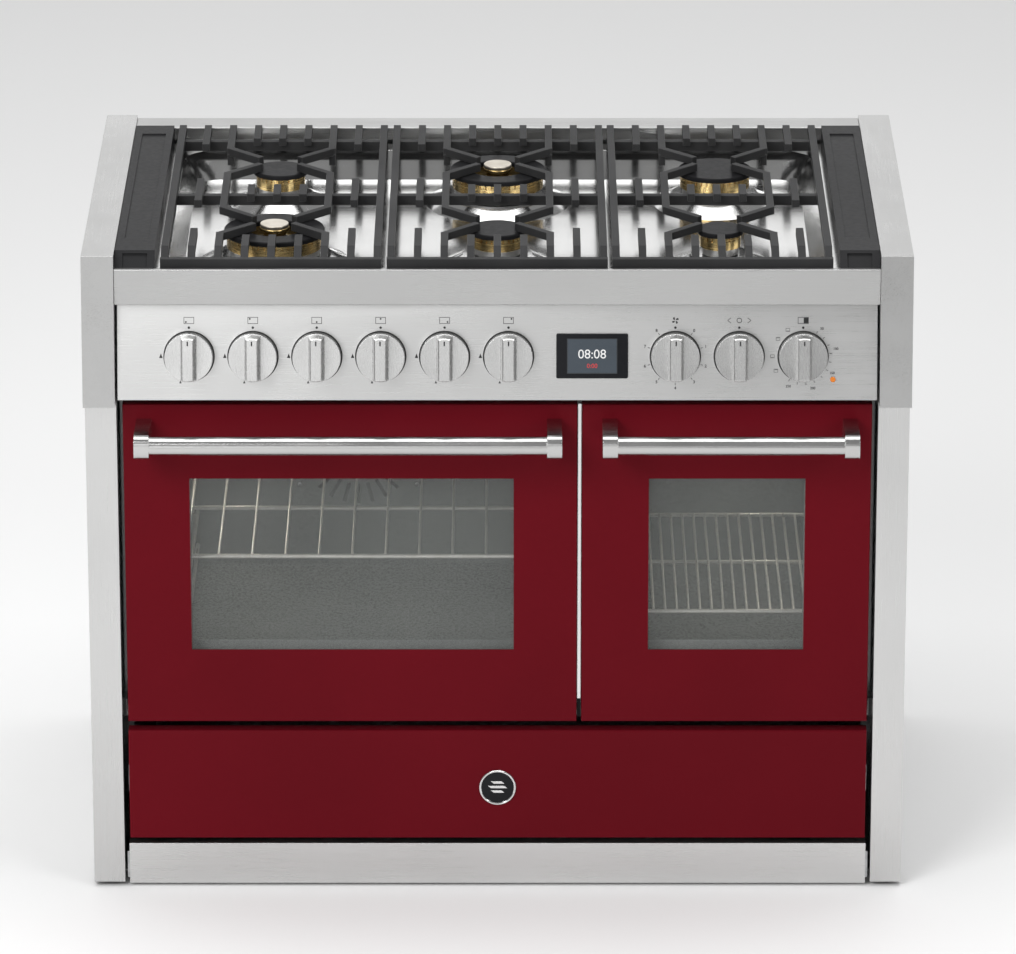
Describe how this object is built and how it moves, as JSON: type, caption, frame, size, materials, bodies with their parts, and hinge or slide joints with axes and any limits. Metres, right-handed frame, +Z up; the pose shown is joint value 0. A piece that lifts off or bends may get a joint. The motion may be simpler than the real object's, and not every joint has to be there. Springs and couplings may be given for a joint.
{
  "type": "freestanding gas range",
  "caption": "Freestanding gas range: burners under cast pan supports, sloping knob panel, two drop-down oven doors with windows and bar handles, storage drawer below.",
  "frame": {"origin": "on the floor, under the middle of the whole outline", "axes": "+X to the right of someone facing the range, +Y towards the wall, +Z up; doors face -Y"},
  "size_m": [1, 0.665, 0.82],
  "materials": {
    "brushed_steel": "brushed, satin",
    "polished_steel": "bright rolled",
    "knob_steel": "fine turned satin",
    "red_enamel": "satin gloss burgundy enamel",
    "black_enamel": "semi-matte black enamel",
    "cast_iron": "black enamelled casting",
    "burner_brass": "machined brass",
    "burner_alloy": "cast, matte",
    "zinc_sheet": "galvanised",
    "window_glass": "grey tempered glass",
    "display_glass": "black glass-like cover",
    "chrome_wire": "bright plated wire",
    "oven_enamel": "speckled dark grey vitreous enamel",
    "element_steel": "heat-darkened tube",
    "foot_plastic": "matte black",
    "switch_plastic": "matte off-white",
    "pipe_steel": "drawn tube"
  },
  "bodies": {
    "cabinet": {"side_panel_left": "brushed_steel", "side_panel_right": "brushed_steel", "base_pan": "zinc_sheet", "levelling_feet": "foot_plastic", "rear_panel": "zinc_sheet", "plinth": "brushed_steel", "top_caps": "brushed_steel", "rear_rail": "brushed_steel", "front_rail": "brushed_steel", "control_panel": "brushed_steel", "display_glass": "display_glass", "centre_mullion": "brushed_steel", "hob_tray": "polished_steel", "side_covers": "black_enamel", "burner_cups": "burner_alloy", "burner_crowns": "burner_brass", "gas_manifold": "pipe_steel", "gas_taps": "pipe_steel", "oven_switches": "switch_plastic", "main_cavity": "oven_enamel", "small_cavity": "oven_enamel", "oven_elements": "element_steel", "shelf_supports": "chrome_wire", "fan_motor": "zinc_sheet", "drawer_runners": "zinc_sheet"},
    "main_door": {"main_door_skin": "red_enamel", "main_door_liner": "oven_enamel", "main_door_glass": "window_glass", "main_door_handle": "brushed_steel"},
    "small_door": {"small_door_skin": "red_enamel", "small_door_liner": "oven_enamel", "small_door_glass": "window_glass", "small_door_handle": "brushed_steel"},
    "drawer": {"drawer_front": "red_enamel", "drawer_box": "zinc_sheet"},
    "main_rack": {"main_shelf": "chrome_wire"},
    "small_rack": {"small_shelf": "chrome_wire"},
    "fan": {"fan_wheel": "element_steel"},
    "grate_left": {"grate_left": "cast_iron"},
    "caps_left": {"burner_caps_left": "black_enamel"},
    "grate_centre": {"grate_centre": "cast_iron"},
    "caps_centre": {"burner_caps_centre": "black_enamel"},
    "grate_right": {"grate_right": "cast_iron"},
    "caps_right": {"burner_caps_right": "black_enamel"},
    "stem_1": {"gas_stem_1": "pipe_steel"},
    "knob_1": {"gas_knob_1": "knob_steel"},
    "stem_2": {"gas_stem_2": "pipe_steel"},
    "knob_2": {"gas_knob_2": "knob_steel"},
    "stem_3": {"gas_stem_3": "pipe_steel"},
    "knob_3": {"gas_knob_3": "knob_steel"},
    "stem_4": {"gas_stem_4": "pipe_steel"},
    "knob_4": {"gas_knob_4": "knob_steel"},
    "stem_5": {"gas_stem_5": "pipe_steel"},
    "knob_5": {"gas_knob_5": "knob_steel"},
    "stem_6": {"gas_stem_6": "pipe_steel"},
    "knob_6": {"gas_knob_6": "knob_steel"},
    "select_stem": {"select_stem": "pipe_steel"},
    "select_knob": {"select_knob": "knob_steel"},
    "function_knob": {"function_knob": "knob_steel"},
    "thermostat_knob": {"thermostat_knob": "knob_steel"}
  },
  "joints": [
    {"name": "main_door_hinge", "type": "hinge", "parent": "cabinet", "child": "main_door", "pos_m": [-0.1783, -0.2405, 0.232], "axis": [1, 0, 0], "range_deg": [0, 90], "stiffness_Nm_per_rad": 6, "springref_deg": -34.38},
    {"name": "small_door_hinge", "type": "hinge", "parent": "cabinet", "child": "small_door", "pos_m": [0.27815, -0.2405, 0.232], "axis": [1, 0, 0], "range_deg": [0, 90], "stiffness_Nm_per_rad": 4.4, "springref_deg": -34.38},
    {"name": "drawer_slide", "type": "slide", "parent": "cabinet", "child": "drawer", "axis": [0, -1, 0], "range_m": [0, 0.31]},
    {"name": "main_rack_slide", "type": "slide", "parent": "cabinet", "child": "main_rack", "axis": [0, -1, 0], "range_m": [0, 0.3]},
    {"name": "small_rack_slide", "type": "slide", "parent": "cabinet", "child": "small_rack", "axis": [0, -1, 0], "range_m": [0, 0.16]},
    {"name": "fan_spin", "type": "hinge", "parent": "cabinet", "child": "fan", "pos_m": [-0.178, 0.1745, 0.427], "axis": [0, -1, 0], "continuous": true},
    {"name": "grate_left_lift", "type": "slide", "parent": "cabinet", "child": "grate_left", "axis": [0, 0, 1], "range_m": [0, 0.15]},
    {"name": "caps_left_lift", "type": "slide", "parent": "cabinet", "child": "caps_left", "axis": [0, 0, 1], "range_m": [0, 0.06]},
    {"name": "grate_centre_lift", "type": "slide", "parent": "cabinet", "child": "grate_centre", "axis": [0, 0, 1], "range_m": [0, 0.15]},
    {"name": "caps_centre_lift", "type": "slide", "parent": "cabinet", "child": "caps_centre", "axis": [0, 0, 1], "range_m": [0, 0.06]},
    {"name": "grate_right_lift", "type": "slide", "parent": "cabinet", "child": "grate_right", "axis": [0, 0, 1], "range_m": [0, 0.15]},
    {"name": "caps_right_lift", "type": "slide", "parent": "cabinet", "child": "caps_right", "axis": [0, 0, 1], "range_m": [0, 0.06]},
    {"name": "gas_push_1", "type": "slide", "parent": "cabinet", "child": "stem_1", "axis": [0, 0.9781, -0.2079], "range_m": [0, 0.0045], "stiffness_N_per_m": 800, "springref_m": -0.002},
    {"name": "gas_turn_1", "type": "hinge", "parent": "stem_1", "child": "knob_1", "pos_m": [-0.3715, -0.28802, 0.69816], "axis": [0, -0.9781, 0.2079], "range_deg": [0, 165]},
    {"name": "gas_push_2", "type": "slide", "parent": "cabinet", "child": "stem_2", "axis": [0, 0.9781, -0.2079], "range_m": [0, 0.0045], "stiffness_N_per_m": 800, "springref_m": -0.002},
    {"name": "gas_turn_2", "type": "hinge", "parent": "stem_2", "child": "knob_2", "pos_m": [-0.2945, -0.28802, 0.69816], "axis": [0, -0.9781, 0.2079], "range_deg": [0, 165]},
    {"name": "gas_push_3", "type": "slide", "parent": "cabinet", "child": "stem_3", "axis": [0, 0.9781, -0.2079], "range_m": [0, 0.0045], "stiffness_N_per_m": 800, "springref_m": -0.002},
    {"name": "gas_turn_3", "type": "hinge", "parent": "stem_3", "child": "knob_3", "pos_m": [-0.2175, -0.28802, 0.69816], "axis": [0, -0.9781, 0.2079], "range_deg": [0, 165]},
    {"name": "gas_push_4", "type": "slide", "parent": "cabinet", "child": "stem_4", "axis": [0, 0.9781, -0.2079], "range_m": [0, 0.0045], "stiffness_N_per_m": 800, "springref_m": -0.002},
    {"name": "gas_turn_4", "type": "hinge", "parent": "stem_4", "child": "knob_4", "pos_m": [-0.1405, -0.28802, 0.69816], "axis": [0, -0.9781, 0.2079], "range_deg": [0, 165]},
    {"name": "gas_push_5", "type": "slide", "parent": "cabinet", "child": "stem_5", "axis": [0, 0.9781, -0.2079], "range_m": [0, 0.0045], "stiffness_N_per_m": 800, "springref_m": -0.002},
    {"name": "gas_turn_5", "type": "hinge", "parent": "stem_5", "child": "knob_5", "pos_m": [-0.0635, -0.28802, 0.69816], "axis": [0, -0.9781, 0.2079], "range_deg": [0, 165]},
    {"name": "gas_push_6", "type": "slide", "parent": "cabinet", "child": "stem_6", "axis": [0, 0.9781, -0.2079], "range_m": [0, 0.0045], "stiffness_N_per_m": 800, "springref_m": -0.002},
    {"name": "gas_turn_6", "type": "hinge", "parent": "stem_6", "child": "knob_6", "pos_m": [0.0135, -0.28802, 0.69816], "axis": [0, -0.9781, 0.2079], "range_deg": [0, 165]},
    {"name": "select_push", "type": "slide", "parent": "cabinet", "child": "select_stem", "axis": [0, 0.9781, -0.2079], "range_m": [0, 0.0045], "stiffness_N_per_m": 800, "springref_m": -0.002},
    {"name": "select_turn", "type": "hinge", "parent": "select_stem", "child": "select_knob", "pos_m": [0.2915, -0.28802, 0.69816], "axis": [0, -0.9781, 0.2079], "continuous": true},
    {"name": "function_turn", "type": "hinge", "parent": "cabinet", "child": "function_knob", "pos_m": [0.2145, -0.28802, 0.69816], "axis": [0, -0.9781, 0.2079], "range_deg": [-320, 0]},
    {"name": "thermostat_turn", "type": "hinge", "parent": "cabinet", "child": "thermostat_knob", "pos_m": [0.3685, -0.28802, 0.69816], "axis": [0, -0.9781, 0.2079], "range_deg": [-270, 0]}
  ],
  "couplings": [
    {"joint": "main_rack_slide", "follows": "main_door_hinge", "m_per_rad": 0.19},
    {"joint": "small_rack_slide", "follows": "small_door_hinge", "m_per_rad": 0.1},
    {"joint": "caps_left_lift", "follows": "grate_left_lift", "ratio": 0.4},
    {"joint": "caps_centre_lift", "follows": "grate_centre_lift", "ratio": 0.4},
    {"joint": "caps_right_lift", "follows": "grate_right_lift", "ratio": 0.4}
  ]
}
